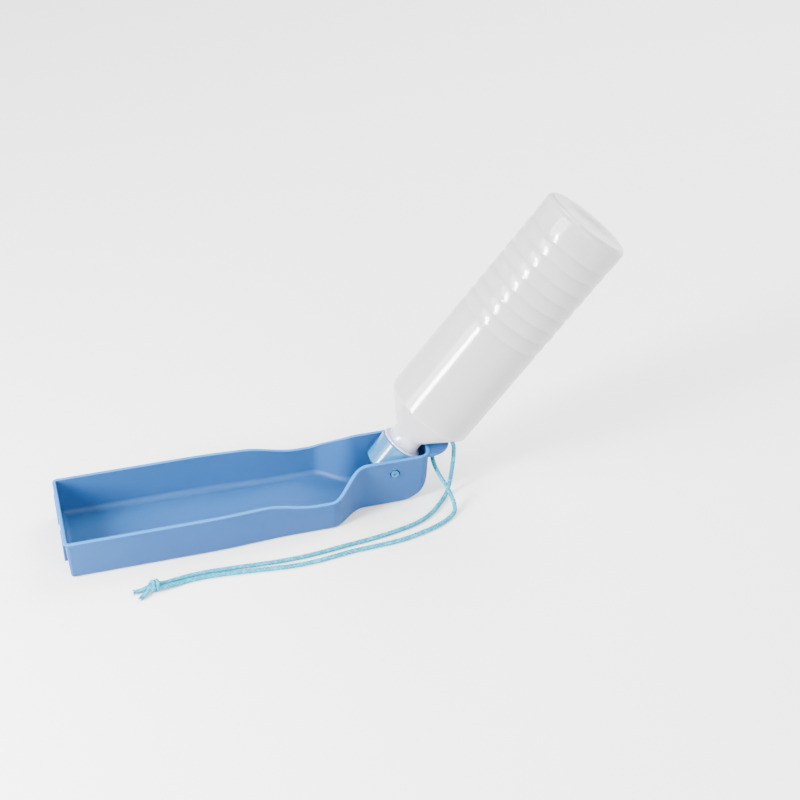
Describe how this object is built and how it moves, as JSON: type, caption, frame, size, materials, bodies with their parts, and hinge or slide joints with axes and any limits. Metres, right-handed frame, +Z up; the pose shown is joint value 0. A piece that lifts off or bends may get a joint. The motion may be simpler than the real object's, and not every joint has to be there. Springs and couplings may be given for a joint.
{
  "type": "pet travel water bottle",
  "caption": "Squeeze bottle screwed into a cap that swings in a boat-shaped drinking tray, which folds over the bottle as its cover; with a carrying cord.",
  "frame": {"origin": "on the table, under the middle of the tray's length and width", "axes": "+X along the tray towards the hinge end, +Y across the tray away from the cord, +Z up"},
  "size_m": [0.4088, 0.1079, 0.2283],
  "materials": {
    "tray_plastic": "satin moulded plastic, mid blue",
    "cap_plastic": "glossy moulded plastic, light blue",
    "bottle_plastic": "milky blown plastic, soft gloss",
    "silicone": "matt moulded silicone",
    "seal_rubber": "matt moulded rubber, dark blue",
    "cord": "round braided cord, light blue"
  },
  "bodies": {
    "tray": {"tray": "tray_plastic", "outlet_pad": "seal_rubber", "cord_over_tab": "cord", "cord_under_tab": "cord", "cord_knot": "cord"},
    "cap": {"swivel_cap": "cap_plastic"},
    "washer": {"neck_washer": "silicone"},
    "bottle": {"bottle": "bottle_plastic"}
  },
  "joints": [
    {"name": "fold", "type": "hinge", "parent": "tray", "child": "cap", "pos_m": [0.107, 0, 0.0298], "axis": [0, -1, 0], "range_deg": [0, 121.2]},
    {"name": "bottle_lift", "type": "slide", "parent": "cap", "child": "washer", "axis": [0.6184, 0, 0.7859], "range_m": [0, 0.0044]},
    {"name": "bottle_turn", "type": "hinge", "parent": "washer", "child": "bottle", "pos_m": [0.107, 0, 0.0298], "axis": [0.6184, 0, 0.7859], "range_deg": [0, 450]}
  ],
  "couplings": [
    {"joint": "bottle_lift", "follows": "bottle_turn", "m_per_rad": 0.00055704}
  ]
}
